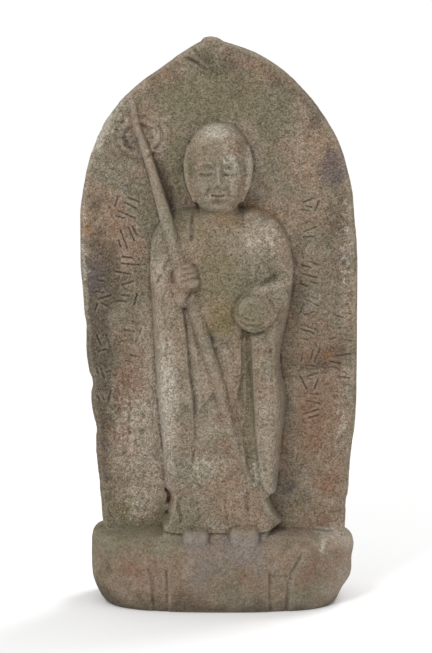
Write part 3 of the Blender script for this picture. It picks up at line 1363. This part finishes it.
    def aged(self, sheet: Sheet, place: Signal, colour: Signal) -> Signal:
        """Darken hollows and engraved strokes, and lighten what is rubbed."""
        fine, broad = sheet.attribute("recess_fine"), sheet.attribute("recess_broad")
        patchy = sheet.remap(sheet.noise(place, 55.0, 4.0, 0.6, 11.0), 0.35, 0.62, 0.15, 0.6)
        dirt = sheet.remap(fine, 0.06, 0.5) * patchy + sheet.remap(broad, 0.6, 5.0) * 0.2
        cuts = sheet.remap(sheet.attribute("engraved"), 0.05, 0.8, 0.0, 0.7)
        dirt = sheet.math('MAXIMUM', dirt * sheet.attribute("sooty"), cuts)
        colour = sheet.mix(dirt, colour, srgb(*self.hollow))
        high = sheet.remap(fine, -0.02, -0.3) * 0.45 + sheet.remap(broad, -0.5, -4.0) * 0.35
        return sheet.mix(high * 0.5, colour, srgb(*self.rubbed))

    def make(self) -> bpy.types.Material:
        """Draw up the material.

        Returns:
            the material, which reads Object coordinates and the attributes on the stone.
        """
        stone = bpy.data.materials.new(self.name)
        stone.use_nodes = True
        sheet = Sheet(stone.node_tree)
        place = sheet.get("ShaderNodeTexCoord", out="Object")
        shade, warmth, height = sheet.several(
            "ShaderNodeGroup", {"Place": place, "Grains": self.grains, "Sand": self.sand},
            ("Shade", "Warmth", "Height"), node_tree=self.grain_group())
        colour = self.stained(sheet, place, self.bare(sheet, place))
        colour = self.aged(sheet, place, self.grained(sheet, colour, shade, warmth))
        bump = sheet.get("ShaderNodeBump", {
            "Strength": self.bump, "Distance": self.bump_depth, "Height": height})
        rough = sheet.remap(shade, 0.3, 0.9, self.roughness + 0.06, self.roughness - 0.08)
        shader = sheet.get("ShaderNodeBsdfPrincipled", {
            "Base Color": colour, "Roughness": rough, "Normal": bump,
            "Specular IOR Level": self.gloss})
        sheet.add("ShaderNodeOutputMaterial", {"Surface": shader})
        return stone


# ------------------------------------------------------------------ the whole stele

@dataclass
class Stele:
    """The block: slab with its figure, base and feet, melted into one skin."""

    low: Vector
    high: Vector
    half_width: float = 161.2
    skin: float = 1.05
    quick_skin: float = 1.6
    rounding: int = 5
    softness: float = 0.5
    room: float = 0.0001
    triangles: int = 192_000
    robe: Robe = field(default_factory=Robe)
    hands: Hands = field(default_factory=Hands)
    staff: Staff = field(default_factory=Staff)
    head: Head = field(default_factory=Head)
    damage: Damage = field(default_factory=Damage)
    base: LotusBase = field(default_factory=LotusBase)
    feet: Feet = field(default_factory=Feet)
    inscription: Inscription = field(default_factory=Inscription)
    weather: Weather = field(default_factory=Weather)
    stains: StainMap = field(default_factory=StainMap)
    finish: WeatheredStone = field(default_factory=WeatheredStone)

    def carve(self, face: Face) -> None:
        """Carve the figure in the order in which its parts lie over each other."""
        self.robe.carve(face)
        self.hands.carve_jewel_arm(face)
        self.staff.carve(face)
        self.hands.carve_fist(face)
        self.head.carve(face)
        self.robe.carve_collar(face)
        self.damage.carve(face)

    def build(self) -> bpy.types.Object:
        """Make the finished stone.

        Returns:
            one object with a plain mesh, its place in its mesh.
        """
        slab = Slab(self.high.z / MM - LIFT, self.half_width, damage=self.damage)
        block = slab.build(self.carve)
        for part in (self.base.build(), self.feet.build()):
            spare = bpy.data.meshes.new("spare")
            part.to_mesh(spare)
            part.free()
            block.from_mesh(spare)
            bpy.data.meshes.remove(spare)
        stele = as_object("carved_stele", block)
        log.info("carved: %d faces", len(stele.data.polygons))
        self.melt(stele)
        self.mark(stele.data, slab)
        strokes = self.inscription.build()
        material = self.finish.make()
        self.weather.wear(stele, strokes, self.inscription, material)
        bpy.data.objects.remove(strokes)
        self.thin(stele)
        self.trim(stele.data)
        self.stains.paint(stele.data)
        stele.data.materials.clear()
        stele.data.materials.append(material)
        stele.data.shade_smooth()
        return stele

    def melt(self, stele: bpy.types.Object) -> None:
        """Melt the overlapping shapes into one skin of even faces and take its steps off."""
        skin = stele.modifiers.new("one_skin", 'REMESH')
        skin.mode = 'VOXEL'
        skin.voxel_size = self.skin * MM
        soft = stele.modifiers.new("soft", 'SMOOTH')
        soft.factor = self.softness
        soft.iterations = self.rounding
        plain_mesh(stele)
        log.info("one skin: %d faces", len(stele.data.polygons))

    def mark(self, mesh: bpy.types.Mesh, slab: Slab) -> None:
        """Store where the plain slab is, and where the stone flakes, wears, is coarse or sooty."""
        places = places_of(mesh)
        x, y, z = places.T
        plain = ramp(5, 2.5, np.abs(y - slab.face_at(z)))
        paint(mesh, "slab", plain * (z > 95))
        paint(mesh, "flaking", self.stains.amount(self.stains.flaking, places) * (y < 10))
        # the head is less worn, and the toes less sooty, than the rest
        face = np.exp(-((x + 1) / 34) ** 4 - ((z - 505) / 46) ** 4) * (y < -60)
        paint(mesh, "wear", ramp(-LIFT, 2, z) * (1 - 0.75 * face))
        paint(mesh, "coarse", 0.68 + 0.32 * ramp(82, 100, z) - 0.1 * face)
        toes = np.exp(-(x / 62) ** 6) * ramp(92, 80, z) * ramp(48, 58, z) * (y < -60)
        paint(mesh, "sooty", 1 - 0.8 * toes)

    def thin(self, stele: bpy.types.Object) -> None:
        """Thin the skin to its number of triangles, which keeps them where the stone is rough."""
        thin = stele.modifiers.new("thin", 'DECIMATE')
        thin.ratio = min(1.0, self.triangles / (2 * len(stele.data.polygons)))
        plain_mesh(stele)
        log.info("thinned: %d faces", len(stele.data.polygons))

    def trim(self, mesh: bpy.types.Mesh) -> None:
        """Keep every point inside the block's own box and the underside flat."""
        places = (places_of(mesh) + (0, 0, LIFT)) * MM
        low = np.array(self.low) + (self.room, self.room, 0)
        high = np.array(self.high) - self.room
        places = np.clip(places, low, high)
        mesh.vertices.foreach_set("co", places.ravel().astype(np.float32))
        mesh.update()


# ------------------------------------------------------------------ the studio

@dataclass
class Studio:
    """Pale floor, soft lights and the camera."""

    distance: float = 3.0
    elevation: float = 7.0
    aim: tuple[float, float, float] = (-0.0035, 0.0, 0.324)
    lens: float = 140.4
    room_strength: float = 0.83
    seen_strength: float = 1.1
    key_place: tuple[float, float, float] = (-0.9, -2.0, 1.9)
    key_aim: tuple[float, float, float] = (0.0, 0.0, 0.32)
    key_power: float = 35.0
    key_size: float = 0.7
    back_way: tuple[float, float, float] = (-0.55, -0.65, -1.0)
    back_strength: float = 1.55
    back_softness: float = 24.0
    floor_size: float = 60.0
    floor_shade: float = 0.84

    def build(self) -> None:
        """Set everything up."""
        scene = bpy.context.scene
        scene.view_settings.view_transform = "Standard"
        self.place_camera()
        self.lay_floor()
        scene.world = self.white_room()
        self.hang_lights()

    def white_room(self) -> bpy.types.World:
        """A white room, seen a little brighter than it shines."""
        world = bpy.data.worlds.new("white_room")
        world.use_nodes = True
        sheet = Sheet(world.node_tree)
        seen = sheet.get("ShaderNodeLightPath", out="Is Camera Ray")
        shine = seen * (self.seen_strength - self.room_strength) + self.room_strength
        room = sheet.get("ShaderNodeBackground", {"Color": (1, 1, 1, 1), "Strength": shine})
        sheet.add("ShaderNodeOutputWorld", {"Surface": room})
        return world

    def place_camera(self) -> None:
        """Stand the camera straight in front, a little above the middle."""
        camera = put("camera", bpy.data.cameras.new("camera"))
        camera.data.lens = self.lens
        rise = math.radians(self.elevation)
        aim = Vector(self.aim)
        camera.location = aim + Vector((0, -math.cos(rise), math.sin(rise))) * self.distance
        self.turn(camera, aim - camera.location)
        bpy.context.scene.camera = camera

    def lay_floor(self) -> None:
        """A wide pale floor."""
        sheet = bmesh.new()
        bmesh.ops.create_grid(sheet, x_segments=1, y_segments=1, size=self.floor_size)
        floor = as_object("studio_floor", sheet)
        pale = bpy.data.materials.new("pale_floor")
        pale.use_nodes = True
        shader = pale.node_tree.nodes["Principled BSDF"]
        shade = self.floor_shade
        shader.inputs["Base Color"].default_value = (shade, shade, shade, 1)
        shader.inputs["Roughness"].default_value = 1.0
        shader.inputs["Specular IOR Level"].default_value = 0.0
        floor.data.materials.append(pale)

    def hang_lights(self) -> None:
        """A square soft light in front, and a hazy sun that comes over the stele from behind."""
        light = bpy.data.lights.new("key", 'AREA')
        light.energy = self.key_power
        light.size = self.key_size
        key = put("key", light)
        key.location = self.key_place
        self.turn(key, Vector(self.key_aim) - key.location)
        sun = bpy.data.lights.new("back", 'SUN')
        sun.energy = self.back_strength
        sun.angle = math.radians(self.back_softness)
        self.turn(put("back", sun), Vector(self.back_way))

    @staticmethod
    def turn(thing: bpy.types.Object, way: Vector) -> None:
        """Make a camera or lamp look along a direction."""
        thing.rotation_euler = way.to_track_quat('-Z', 'Y').to_euler()


def main() -> None:
    """Load the frame, build the stele round it and set up the studio."""
    logging.basicConfig(level=logging.INFO, format="%(message)s")
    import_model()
    low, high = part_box(NODE)
    stele = Stele(low, high).build()
    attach(stele, "root")
    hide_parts(NODE)
    log.info("%s: %d triangles", stele.name, len(stele.data.polygons))
    Studio().build()


if __name__ == "__main__":
    main()
